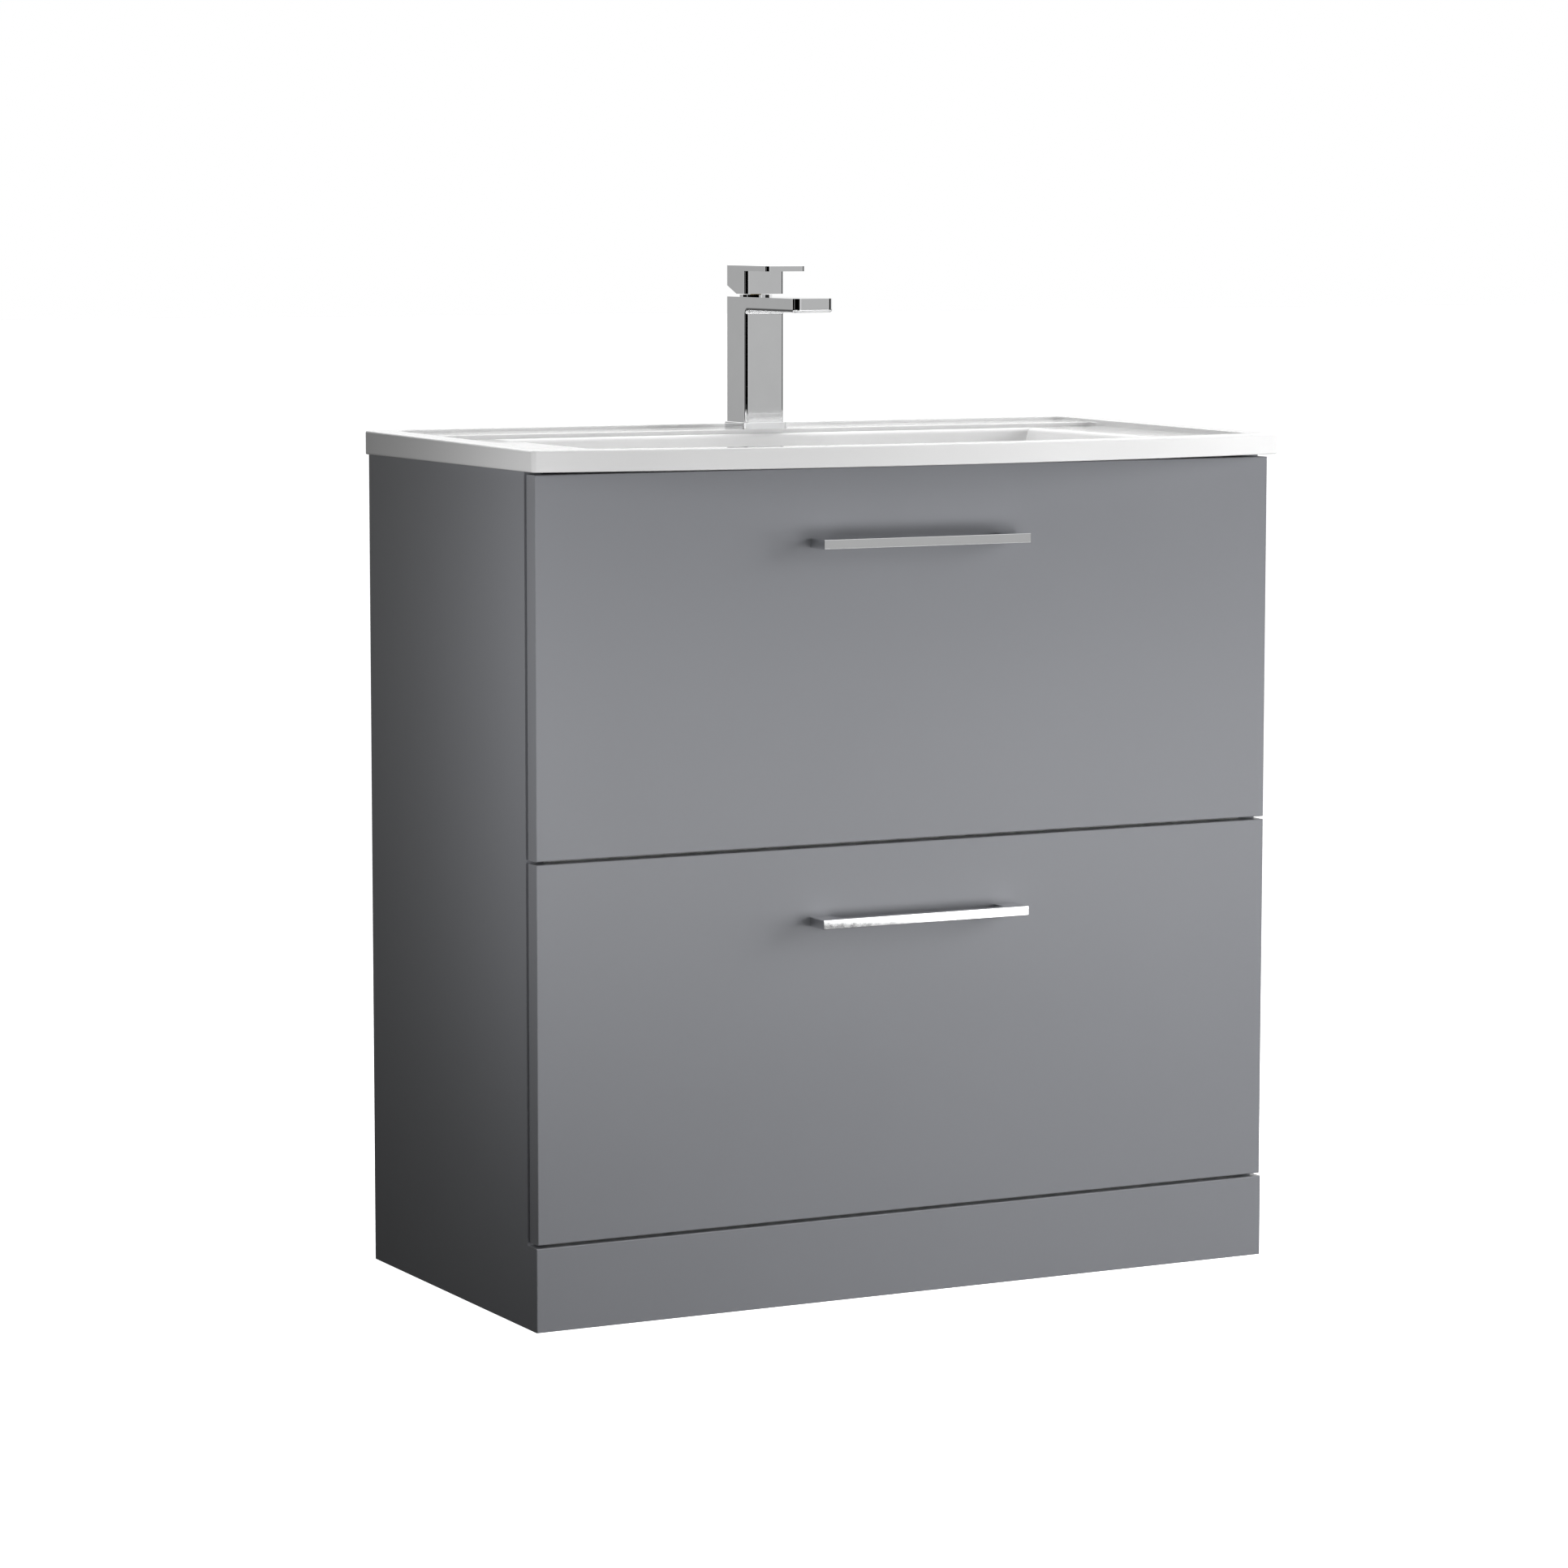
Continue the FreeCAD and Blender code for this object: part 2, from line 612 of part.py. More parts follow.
def box_side(side, box_base, box_height):
    x = "box_width / 2 - box_board" if side > 0 else "-box_width / 2"
    y = f"{FACE} + front_thick + box_board"
    length = "box_length - box_board"
    board = box(("box_board", length, box_height), (x, y, box_base))
    groove_x = x if side > 0 else f"{x} + box_board - groove"
    groove_z = f"{box_base} + base_rise"
    return cut(board, [box(("groove", length, "base_thick"), (groove_x, y, groove_z))])


def inner_front(box_base, box_height):
    y = f"{FACE} + front_thick"
    board = box(("box_width", "box_board", box_height), ("-box_width / 2", y, box_base))
    tools = [
        box(
            ("box_width - 2 * box_board + 2 * groove", "groove", "base_thick"),
            ("box_board - groove - box_width / 2", f"{y} + box_board - groove", f"{box_base} + base_rise"),
        )
    ]
    for seat in front_screw_seats(box_base, box_height):
        tools.append(small_screw_hole(seat, "y", -1, "box_board"))
    return cut(board, tools)


def back_board(start, width, box_base, box_height):
    y = f"{FACE} + front_thick + box_length - box_board"
    rise = "(base_rise + base_thick)"
    return box((width, "box_board", f"{box_height} - {rise}"), (start, y, f"{box_base} + {rise}"))


def base_block(body, box_base):
    half = "(box_width / 2 - box_board + groove)"
    start_y = f"{FACE} + front_thick + box_board - groove"
    size = (f"2 * {half}", "box_length - box_board + groove", "base_thick")
    body_block(body, size, (f"-{half}", start_y, f"{box_base} + base_rise"))


def pipe_front():
    """The y of the front of the cut-out that clears the waste pipe."""
    return f"{FACE} + front_thick + box_length - pipe_depth"


def make_upper_base():
    """The drawer's base, with a U-shaped cut-out from the back for the waste pipe."""
    body = new_body("upper_drawer_base")
    base_block(body, UPPER_BOX)
    notch = ("pipe_width", "pipe_depth", "base_thick")
    body_block(body, notch, ("-pipe_width / 2", pipe_front(), f"{UPPER_BOX} + base_rise"), "Subtractive")
    round_edges(
        body, "pipe_corner", lambda edge: spans(edge, "z") and flat_at(edge, "y", pipe_front())
    )


def make_pipe_guard():
    """A thin moulded U that lines the cut-out and keeps what is in the drawer off the waste pipe."""
    body = new_body("upper_pipe_guard")
    outer = ("pipe_width", "pipe_depth", "upper_box_height")
    body_block(body, outer, ("-pipe_width / 2", pipe_front(), UPPER_BOX))
    round_edges(
        body, "pipe_corner", lambda edge: spans(edge, "z") and flat_at(edge, "y", pipe_front())
    )
    hollow = new_sketch(body, f"{UPPER_BOX} + upper_box_height", "Hollow")
    front = f"({pipe_front()} + pipe_wall)"
    back = f"({pipe_front()} + pipe_depth + pipe_corner)"
    rounded_rectangle(hollow, "(pipe_width / 2 - pipe_wall)", front, back, "(pipe_corner - pipe_wall)")
    pocket(body, hollow, "upper_box_height")


def make_drawer(level, front_base, box_base, box_height):
    """The pieces that an upper and a lower drawer have in common."""
    make_drawer_front(f"{level}_drawer_front", front_base, box_base, box_height)
    make_handle(f"{level}_handle", front_base)
    make_handle_screws(f"{level}_handle_screws", front_base)
    node(box_side(-1, box_base, box_height), f"{level}_drawer_left_side")
    node(box_side(1, box_base, box_height), f"{level}_drawer_right_side")
    node(inner_front(box_base, box_height), f"{level}_drawer_inner_front")
    screws = [small_screw(seat, "y", -1, "front_screw_length")
              for seat in front_screw_seats(box_base, box_height)]
    node(group(screws), f"{level}_front_screws")


def make_upper_drawer():
    make_drawer("upper", UPPER_FRONT, UPPER_BOX, "upper_box_height")
    make_upper_base()
    make_pipe_guard()
    inner_half = "(box_width / 2 - box_board)"
    width = f"{inner_half} - pipe_width / 2"
    starts = (f"-{inner_half}", "pipe_width / 2")
    boards = [back_board(start, width, UPPER_BOX, "upper_box_height") for start in starts]
    node(group(boards), "upper_drawer_back")


def make_lower_drawer():
    make_drawer("lower", LOWER_FRONT, LOWER_BOX, "lower_box_height")
    base_block(new_body("lower_drawer_base"), LOWER_BOX)
    width = "box_width - 2 * box_board"
    board = back_board("box_board - box_width / 2", width, LOWER_BOX, "lower_box_height")
    node(board, "lower_drawer_back")


# Drawer runners: three nested steel channels a side, with balls between them


def channel(side, start, end, half, web_outboard, middle_z):
    """A steel C-section; its web is towards the side panel, or towards the drawer."""
    y = f"{CASE} + runner_setback - front_gap"
    deep = f"({end} - {start})"
    corner = (inboard(side, start, end), y, f"{middle_z} - {half}")
    outer = box((deep, "runner_length", f"2 * {half}"), corner)
    hollow_half = f"({half} - runner_sheet)"
    low, high = (f"({start} + runner_sheet)", end) if web_outboard else (start, f"({end} - runner_sheet)")
    hollow = box(
        (f"{high} - {low}", "runner_length", f"2 * {hollow_half}"),
        (inboard(side, low, high), y, f"{middle_z} - {hollow_half}"),
    )
    return cut(outer, [hollow])


def ball_cage(side, start_y, middle_z, offset):
    """A thin strip that keeps a row of balls apart."""
    x_mid = f"{side} * ({INNER} - ball_line)"
    z = f"{middle_z} + {offset}"
    strip = box(
        ("cage_width", "cage_length", "cage_thick"),
        (f"{x_mid} - cage_width / 2", start_y, f"{z} - cage_thick / 2"),
    )
    count = int(number("cage_length") // number("ball_pitch")) + 1
    first = f"({start_y} + (cage_length - {count - 1} * ball_pitch) / 2)"
    balls = []
    holes = []
    for i in range(count):
        centre = (x_mid, f"{first} + {i} * ball_pitch", z)
        balls.append(ball("ball_radius", centre))
        holes.append(ball("ball_radius + cam_play / 2", centre))
    return [cut(strip, holes), *balls]


def ball(radius, centre):
    solid = doc.addObject("Part::Sphere", "Ball")
    bind(solid, Radius=radius)
    locate(solid, centre)
    return solid


def make_runner_moving_parts(level, box_base):
    middle_z = f"({box_base} + runner_rise)"
    middles = [channel(side, "middle_start", "middle_end", "middle_half", True, middle_z) for side in (-1, 1)]
    node(group(middles), f"{level}_runner_middles")
    inners = [channel(side, "inner_start", "inner_end", "inner_half", False, middle_z) for side in (-1, 1)]
    node(group(inners), f"{level}_runner_inners")
    runner_y = f"{CASE} + runner_setback - front_gap"
    rear = f"{runner_y} + runner_length - cage_length - cage_width"
    front = f"{runner_y} + cage_width"
    outer_line = "(outer_half - runner_sheet + middle_half) / 2"
    inner_line = "(middle_half - runner_sheet + inner_half) / 2"
    cages = []
    for side in (-1, 1):
        for up in (-1, 1):
            cages += ball_cage(side, rear, middle_z, f"{up} * {outer_line}")
            cages += ball_cage(side, front, middle_z, f"{up} * {inner_line}")
    node(group(cages), f"{level}_runner_balls")


def make_runners():
    outers = [
        channel(side, "0", "outer_deep", "outer_half", True, f"({box_base} + runner_rise)")
        for side in (-1, 1)
        for box_base in (LOWER_BOX, UPPER_BOX)
    ]
    node(group(outers), "runner_cabinet_members")
    make_runner_moving_parts("lower", LOWER_BOX)
    make_runner_moving_parts("upper", UPPER_BOX)


# Basin


def bowl_block(body, kind, grow, grow_top, floor, top):
    """A truncated pyramid of the bowl's shape between two levels, grown sideways at each."""
    wedge = body.newObject(f"PartDesign::{kind}Wedge", "Bowl")
    wedge.Placement = Placement(Vector(), Rotation(Vector(1, 0, 0), 90))
    bind(
        wedge,
        Ymin=floor,
        Ymax=top,
        Xmin=f"-floor_half - {grow}",
        Xmax=f"floor_half + {grow}",
        Zmin=f"-{FACE} - floor_back - {grow}",
        Zmax=f"-{FACE} - floor_front + {grow}",
        X2min=f"-bowl_half - {grow_top}",
        X2max=f"bowl_half + {grow_top}",
        Z2min=f"-{FACE} - bowl_back - {grow_top}",
        Z2max=f"-{FACE} - bowl_front + {grow_top}",
    )
    round_edges(body, "bowl_corner", lambda edge: slants(edge) and at(edge.BoundBox.ZMin, floor))
    round_edges(body, "floor_round", lambda edge: flat_at(edge, "z", floor))


def slants(edge):
    """True for the corner edges of a tapered block, which lean both sideways and forwards or back."""
    size = edge.BoundBox
    return min(size.XLength, size.YLength, size.ZLength) > number("basin_edge")


def add_waste_boss_and_duct(body):
    """The boss for the waste, and the rib behind the bowl that holds the overflow's passage."""
    under_floor = "(floor_level - seat_drop)"
    boss = ("0", WASTE_Y, "boss_level")
    body_rod(body, "waste_boss", f"{under_floor} - boss_level", boss, "z", "Additive")
    back = f"({FACE} + duct_back)"
    bend = f"({FACE} + floor_back)"
    sketch = side_sketch(body, "Duct")
    profile(sketch, [
        (WASTE_Y, "duct_base"), (back, "duct_base"), (back, "duct_top"), (bend, "duct_top"),
        (bend, under_floor), (WASTE_Y, under_floor),
    ])
    pad(body, sketch, "duct_width").Midplane = True


def slope_level(y):
    """The height of the rim's top, which rises evenly from the front of the bow to the wall."""
    return f"({BASIN_TOP} + rim_rise * ({y} + overall_depth / 2) / overall_depth)"


def slope_top(body):
    """Planes the basin's top down to the slope of the rim."""
    ends = (f"(-{WALL} - basin_edge)", f"({WALL} + basin_edge)")
    above = f"{BASIN_TOP} + basin_edge"
    sketch = side_sketch(body, "Slope")
    profile(sketch, [(ends[0], slope_level(ends[0])), (ends[1], slope_level(ends[1])),
                     (ends[1], above), (ends[0], above)])
    pocket(body, sketch, "basin_width + basin_edge").Midplane = True


def slope_edge(edge):
    """True if both ends of the edge are on the rim's sloping top."""
    return all(at(v.Z, slope_level(v.Y)) for v in edge.Vertexes)


def recess_edge(edge):
    """True if the edge is inside the rim, away from the basin's own outline."""
    limit = number("basin_width / 2 - rim_side") + 0.5
    return max(edge.BoundBox.XMax, -edge.BoundBox.XMin) < limit


def lip_edge(edge):
    """True if the edge is in the bowl's outline at the top."""
    reach = max(edge.BoundBox.XMax, -edge.BoundBox.XMin)
    return flat_at(edge, "z", f"{BASIN_TOP} - dish_drop") and reach < number("bowl_half") + 0.5


def soften_top(body):
    """Rounds the rim's inner edge, the step of the tap ledge and the bowl's lip."""
    round_edges(body, "step_round", lambda edge: slope_edge(edge) and recess_edge(edge))
    round_edges(
        body, "step_round", lambda edge: spans(edge, "x") and flat_at(edge, "z", DECK)
        and flat_at(edge, "y", f"{WALL} - ledge_depth")
    )
    round_edges(body, "lip_round", lip_edge)


def sink_top(body):
    """The tap ledge, the lower dish in front of it and the bowl, cut from the top down."""
    side = "(basin_width / 2 - rim_side)"
    for back, drop, name in ((f"({WALL} - rim_back)", "ledge_drop", "Ledge"),
                             (f"({WALL} - ledge_depth)", "rim_rise + dish_drop", "Dish")):
        sketch = new_sketch(body, f"{BASIN_TOP} + rim_rise", name)
        bowed_outline(sketch, side, back, "rim_front")
        pocket(body, sketch, drop)
        round_edges(body, "plan_corner", lambda edge: spans(edge, "z") and recess_edge(edge))
    bowl_block(body, "Subtractive", "0", "0", "floor_level", f"{BASIN_TOP} - dish_drop")


def overflow_frame():
    """The overflow's place on the bowl's sloping back wall, and the turn that faces out of it."""
    slope = "((bowl_back - floor_back) / (cabinet_height + basin_edge - dish_drop - floor_level))"
    y = f"{FACE} + bowl_back - (cabinet_height + basin_edge - dish_drop - overflow_level) * {slope}"
    lean = math.atan(number(slope))
    outwards = Vector(0, -math.cos(lean), math.sin(lean))
    return ("0", y, "overflow_level"), outwards


def drill_basin(body):
    body_rod(body, "seat_radius", "seat_drop", ("0", WASTE_Y, "floor_level - seat_drop"))
    body_rod(body, "waste_hole", "basin_edge * 3", ("0", WASTE_Y, "boss_level"))
    body_rod(body, "tap_hole", "basin_edge + rim_rise", ("0", TAP_Y, "cabinet_height"))
    start_x = "-passage_width / 2"
    low_leg = ("passage_width", "passage_back - waste_y", "passage_height")
    body_block(body, low_leg, (start_x, WASTE_Y, "passage_base"), "Subtractive")
    back_leg = ("passage_width", "passage_back - passage_front", "overflow_level - passage_base")
    body_block(body, back_leg, (start_x, f"{FACE} + passage_front", "passage_base"), "Subtractive")
    place, outwards = overflow_frame()
    hole = body_rod(body, "overflow_radius", "overflow_radius * 2", place)
    locate(hole, place, Rotation(Vector(0, 0, 1), -outwards))


def make_basin():
    body = new_body("basin")
    outline = new_sketch(body, "cabinet_height", "Outline")
    bowed_outline(outline, "(basin_width / 2)", WALL, "0")
    pad(body, outline, "basin_edge + rim_rise")
    slope_top(body)
    round_edges(body, "basin_corner", lambda edge: spans(edge, "z"))
    round_edges(body, "rim_round", slope_edge)
    round_edges(body, "under_round", lambda edge: flat_at(edge, "z", "cabinet_height"))
    shell_floor = "floor_level - basin_wall"
    bowl_block(body, "Additive", "basin_wall", "shell_overlap", shell_floor, "cabinet_height + 1")
    add_waste_boss_and_duct(body)
    sink_top(body)
    soften_top(body)
    drill_basin(body)


def make_overflow_ring():
    place, outwards = overflow_frame()
    turn = Rotation(Vector(0, 0, 1), outwards)
    inwards = Rotation(Vector(0, 0, 1), -outwards)
    lip = rod("ring_radius", "ring_thick", place)
    locate(lip, place, turn)
    collar = rod("overflow_radius - cam_play", "ring_thick * 3", place)
    locate(collar, place, inwards)
    bores = [rod("ring_bore", "ring_thick * 3", place), rod("ring_bore", "ring_thick", place)]
    locate(bores[0], place, inwards)
    locate(bores[1], place, turn)
    node(cut(fuse([lip, collar]), bores), "overflow_ring")


# Waste


def make_waste():
    """The slotted waste through the basin's floor, its two seals and the nut that clamps it."""
    seat = "(floor_level - seat_drop)"
    flange_base = f"({seat} + seal_thick)"
    start = ("0", WASTE_Y, flange_base)
    tail_top = f"({flange_base} - tail_end)"
    shell = fuse([
        rod("flange_radius", "flange_thick", start),
        rod("tail_radius", tail_top, ("0", WASTE_Y, "tail_end")),
    ])
    windows = box(("3 * tail_radius", "2 * waste_slot", "waste_slot"),
                  ("-1.5 * tail_radius", f"{WASTE_Y} - waste_slot", "passage_base + waste_slot_rise"))
    bore = rod("tail_bore", "floor_level - tail_end + flange_thick", ("0", WASTE_Y, "tail_end"))
    groove_place = ("0", WASTE_Y, "tail_end + tail_length")
    groove = tube("tail_radius + groove_depth", "tail_radius - groove_depth", "tail_groove", groove_place)
    hollow = cut(shell, [bore, groove, windows])
    bar_half = "(tail_bore + 1)"
    bar = box((f"2 * {bar_half}", "stem_radius", "spider_height"),
              (f"-{bar_half}", f"{WASTE_Y} - stem_radius / 2", "spider_level"))
    hub = rod("hub_radius", "spider_height", ("0", WASTE_Y, "spider_level"))
    guide = rod("stem_radius + hub_play", "spider_height", ("0", WASTE_Y, "spider_level"))
    node(cut(fuse([hollow, bar, hub]), [guide]), "waste_body")
    upper_seal = tube("flange_radius - 1", "waste_hole", "seal_thick", ("0", WASTE_Y, seat))
    node(upper_seal, "waste_upper_seal")
    seal_base = "(boss_level - 2 * seal_thick)"
    lower_seal = tube("nut_radius - 3", "tail_radius + cam_play", "2 * seal_thick", ("0", WASTE_Y, seal_base))
    node(lower_seal, "waste_lower_seal")
    nut_base = f"{seal_base} - nut_height"
    nut_hole = rod("tail_radius + cam_play / 2", "nut_height", ("0", WASTE_Y, nut_base))
    node(cut(hexagon("nut_radius", "nut_height", ("0", WASTE_Y, nut_base)), [nut_hole]), "waste_nut")


def hexagon(radius, height, start):
    prism = doc.addObject("Part::Prism", "Hexagon")
    prism.Polygon = 6
    bind(prism, Circumradius=radius, Height=height)
    locate(prism, start)
    return prism


def make_waste_plug():
    """The press-to-open plug: a low round cap on a guided stem."""
    body = new_body("waste_plug")
    cap_base = "(floor_level - seat_drop + seal_thick + flange_thick + hub_play * 2)"
    body_rod(body, "plug_radius", "plug_thick", ("0", WASTE_Y, cap_base), "z", "Additive")
    round_edges(body, "plug_thick * 2 / 3", lambda edge: flat_at(edge, "z", f"{cap_base} + plug_thick"))
    stem_base = f"{cap_base} - stem_length"
    body_rod(body, "stem_radius", "stem_length", ("0", WASTE_Y, stem_base), "z", "Additive")


# Tap


def inlet_places():
    y = f"{TAP_Y} - inlet_forward"
    return [(f"{side} * inlet_half_pitch", y) for side in (-1, 1)]


def make_tap_body():
    body = new_body("tap_body")
    y = f"{FACE} + tap_front"
    base = f"({DECK} + seal_thick)"
    spout_base = f"({TAP_TOP} - spout_height)"
    column = ("tap_width", "tap_depth", "tap_height - seal_thick")
    body_block(body, column, ("-tap_width / 2", y, base))
    spout = ("tap_width", "spout_reach + tap_depth / 2", "spout_height")
    body_block(body, spout, ("-tap_width / 2", f"{y} - spout_reach", spout_base))
    nose = f"{y} - spout_reach"
    round_edges(body, "spout_corner", lambda edge: spans(edge, "z") and flat_at(edge, "y", nose))
    round_edges(
        body, "tap_round", lambda edge: flat_at(edge, "y", y) and flat_at(edge, "z", spout_base)
    )
    round_edges(
        body, "tap_round",
        lambda edge: (spans(edge, "z") and flat_at(edge, "y", y)) or (
            spans(edge, "x") and flat_at(edge, "z", spout_base) and flat_at(edge, "y", nose)),
    )
    cut_tap_channels(body, base, spout_base, nose)


def cut_tap_channels(body, base, spout_base, nose):
    """The cartridge's chamber, two supplies, the way to the spout's end and the fixing stud's hole."""
    body_rod(body, "chamber_radius", "chamber_top - chamber_base", ("0", TAP_Y, f"{DECK} + chamber_base"))
    body_rod(body, "nut_thread", "tap_height - chamber_top", ("0", TAP_Y, f"{DECK} + chamber_top"))
    for x, y in inlet_places():
        body_rod(body, "waterway", "chamber_base - seal_thick", (x, y, base))
        body_rod(body, "inlet_radius", "stud_in_body", (x, y, base))
    outlet_y = f"{nose} + aerator_inset"
    outlet_length = f"spout_reach + tap_depth / 2 - chamber_radius - aerator_inset + tap_round"
    body_rod(body, "outlet_radius", outlet_length, ("0", outlet_y, f"{DECK} + outlet_rise"), "y")
    body_rod(body, "aerator_radius", "aerator_height", ("0", outlet_y, spout_base))
    stud = ("0", f"{TAP_Y} + stud_back", base)
    body_rod(body, "stud_radius + cam_play / 2", "stud_in_body", stud)


def make_tap_skirt():
    body = new_body("tap_skirt")
    rim = "skirt_rim"
    size = (f"tap_width + 2 * {rim}", f"tap_depth + 2 * {rim}", "skirt_height")
    corner = (f"-tap_width / 2 - {rim}", f"{FACE} + tap_front - {rim}", DECK)
    body_block(body, size, corner)
    round_edges(body, "tap_round + skirt_rim / 2", lambda edge: spans(edge, "z"))
    round_edges(body, "tap_edge", lambda edge: flat_at(edge, "z", f"{DECK} + skirt_height"))
    hole = ("tap_width + 2 * skirt_play", "tap_depth + 2 * skirt_play", "skirt_height")
    hole_corner = ("-tap_width / 2 - skirt_play", f"{FACE} + tap_front - skirt_play", DECK)
    body_block(body, hole, hole_corner, "Subtractive")


def make_tap_seal():
    size = ("tap_width - 2 * seal_inset", "tap_depth - 2 * seal_inset", "seal_thick")
    corner = ("seal_inset - tap_width / 2", f"{FACE} + tap_front + seal_inset", DECK)
    opening = rod("tap_hole - 2 * seal_inset", "seal_thick", ("0", TAP_Y, DECK))
    node(cut(box(size, corner), [opening]), "tap_base_seal")


def make_tap_fixing():
    stud_y = f"{TAP_Y} + stud_back"
    length = f"{DECK} + seal_thick + stud_in_body - stud_base"
    node(rod("stud_radius", length, ("0", stud_y, "stud_base")), "tap_fixing_stud")
    washer_base = "cabinet_height - clamp_thick"
    slot = box(("clamp_slot", "2 * clamp_radius", "clamp_thick"),
               ("-clamp_slot / 2", f"{TAP_Y} + clamp_slot_back - 2 * clamp_radius", washer_base))
    stud_hole = rod("stud_radius + screw_clearance", "clamp_thick", ("0", stud_y, washer_base))
    washer = rod("clamp_radius", "clamp_thick", ("0", TAP_Y, washer_base))
    node(cut(washer, [slot, stud_hole]), "tap_clamp_washer")
    nut_base = f"{washer_base} - clamp_nut_height"
    nut = hexagon("clamp_nut_radius", "clamp_nut_height", ("0", stud_y, nut_base))
    bore = rod("stud_radius + cam_play / 2", "clamp_nut_height", ("0", stud_y, nut_base))
    node(cut(nut, [bore]), "tap_clamp_nut")


def make_aerator():
    """A round insert with a ring of jets around a middle one."""
    y = f"{FACE} + tap_front - spout_reach + aerator_inset"
    base = f"({TAP_TOP} - spout_height)"
    height = "aerator_height - seal_thick"
    disc = rod("aerator_radius - cam_play", height, ("0", y, f"{base} + cam_play"))
    jets = [rod("jet_radius", height, ("0", y, f"{base} + cam_play"))]
    for turn in range(0, 360, 60):
        place = (f"jet_ring * cos({turn} deg)", f"{y} + jet_ring * sin({turn} deg)", f"{base} + cam_play")
        jets.append(rod("jet_radius", height, place))
    node(cut(disc, jets), "tap_aerator")


def make_cartridge():
    base = f"({DECK} + chamber_base)"
    shoulder = f"({DECK} + chamber_base + cartridge_height)"
    shoulder_height = "chamber_top - chamber_base - cartridge_height"
    housing = fuse([
        rod("cartridge_radius", "cartridge_height", ("0", TAP_Y, base)),
        rod("nut_thread - cam_play", shoulder_height, ("0", TAP_Y, shoulder)),
    ])
    cavity = rod("carrier_radius + carrier_play", "chamber_top - carrier_base",
                 ("0", TAP_Y, f"{DECK} + carrier_base"))
    ports = [rod("waterway", "waterway * 2", (x, y, base)) for x, y in inlet_places()]
    node(cut(housing, [cavity, *ports]), "tap_cartridge")
    nut = fuse([
        rod("nut_thread - cam_play", "tap_height - chamber_top", ("0", TAP_Y, f"{DECK} + chamber_top")),
        rod("neck_radius", "neck_height", ("0", TAP_Y, TAP_TOP)),
    ])
    bore = rod("nut_bore", "tap_height - chamber_top + neck_height", ("0", TAP_Y, f"{DECK} + chamber_top"))
    node(cut(nut, [bore]), "cartridge_nut")


def make_carrier():
    """The part of the cartridge that turns with the lever, and the pin that the lever tilts on."""
    base = f"{DECK} + carrier_base + carrier_play"
    height = "carrier_top - carrier_base - carrier_play"
    slot = box(("spindle_slot", "carrier_radius * 2", height),
               ("-spindle_slot / 2", f"{TAP_Y} - carrier_radius", f"{base} + waterway"))
    pivot = ("-carrier_radius", TAP_Y, f"{DECK} + pivot_height")
    pin_hole = rod("pin_radius", "carrier_radius * 2", pivot, "x")
    node(cut(rod("carrier_radius", height, ("0", TAP_Y, base)), [slot, pin_hole]), "cartridge_carrier")
    pin_start = ("1 - carrier_radius", TAP_Y, f"{DECK} + pivot_height")
    node(rod("pin_radius", "carrier_radius * 2 - 2", pin_start, "x"), "lever_pivot_pin")


def make_lever():
    body = new_body("tap_lever")
    back = f"({TAP_Y} + tap_depth / 2)"
    front = f"({TAP_Y} - tap_depth / 2)"
    block_base = f"({TAP_TOP} + lever_gap)"
    plate_base = f"({block_base} + lever_block)"
    top = f"({plate_base} + lever_plate)"
    tip = f"({back} - lever_length)"
    sketch = side_sketch(body, "Side")
    profile(sketch, [
        (back, f"({block_base} + lever_relief)"), (back, top), (tip, top), (tip, plate_base),
        (front, plate_base), (front, block_base), (TAP_Y, block_base),
    ])
    feature = pad(body, sketch, "tap_width")
    feature.Midplane = True
    round_edges(body, "lever_corner", lambda edge: spans(edge, "z") and (
        flat_at(edge, "y", front) or flat_at(edge, "y", tip)))
    round_edges(body, "lever_edge", lambda edge: flat_at(edge, "z", top))
    socket = ("spindle", "spindle", "spindle_top - tap_height - lever_gap")
    body_block(body, socket, ("-spindle / 2", f"{TAP_Y} - spindle / 2", block_base), "Subtractive")
    grub_y = f"{TAP_Y} + spindle / 2"
    length = "(tap_depth - spindle) / 2"
    body_rod(body, "grub_radius", length, ("0", grub_y, f"{DECK} + grub_rise"), "y")


def make_spindle():
    base = f"{DECK} + spindle_base"
    bar = box(("spindle", "spindle", "spindle_top - spindle_base"),
              ("-spindle / 2", f"{TAP_Y} - spindle / 2", base))
    pivot = ("-spindle / 2", TAP_Y, f"{DECK} + pivot_height")
    eye = rod("pin_radius + carrier_play", "spindle", pivot, "x")
    node(cut(bar, [eye]), "lever_spindle")
    grub_start = ("0", f"{TAP_Y} + spindle / 2", f"{DECK} + grub_rise")
    socket_start = shifted(grub_start, "y", "grub_length / 2")
    hex_socket = rod("grub_radius / 2", "grub_length / 2", socket_start, "y")
    grub = rod("grub_radius - cam_play / 2", "grub_length", grub_start, "y")
    node(cut(grub, [hex_socket]), "lever_grub_screw")


# The whole unit


def make_cabinet():
    make_side_panel("left_side_panel", -1)
    make_side_panel("right_side_panel", 1)
    make_panels()
    make_cam_fittings()
    make_plinth()
    make_brackets()
    make_bumpers()


def make_tap():
    make_tap_body()
    make_tap_skirt()
    make_tap_seal()
    make_tap_fixing()
    make_aerator()
    make_cartridge()
    make_carrier()
    make_lever()
    make_spindle()


def check_document():
    """Stops if any object failed, or if a sub-part is empty or not a sound solid."""
    broken = [item.Label for item in doc.Objects if {"Invalid", "Error"} & set(item.State)]
    broken += [item.Label for item in nodes if item.Shape.isNull() or not item.Shape.isValid()]
    if broken:
        raise RuntimeError("failed: " + ", ".join(broken))


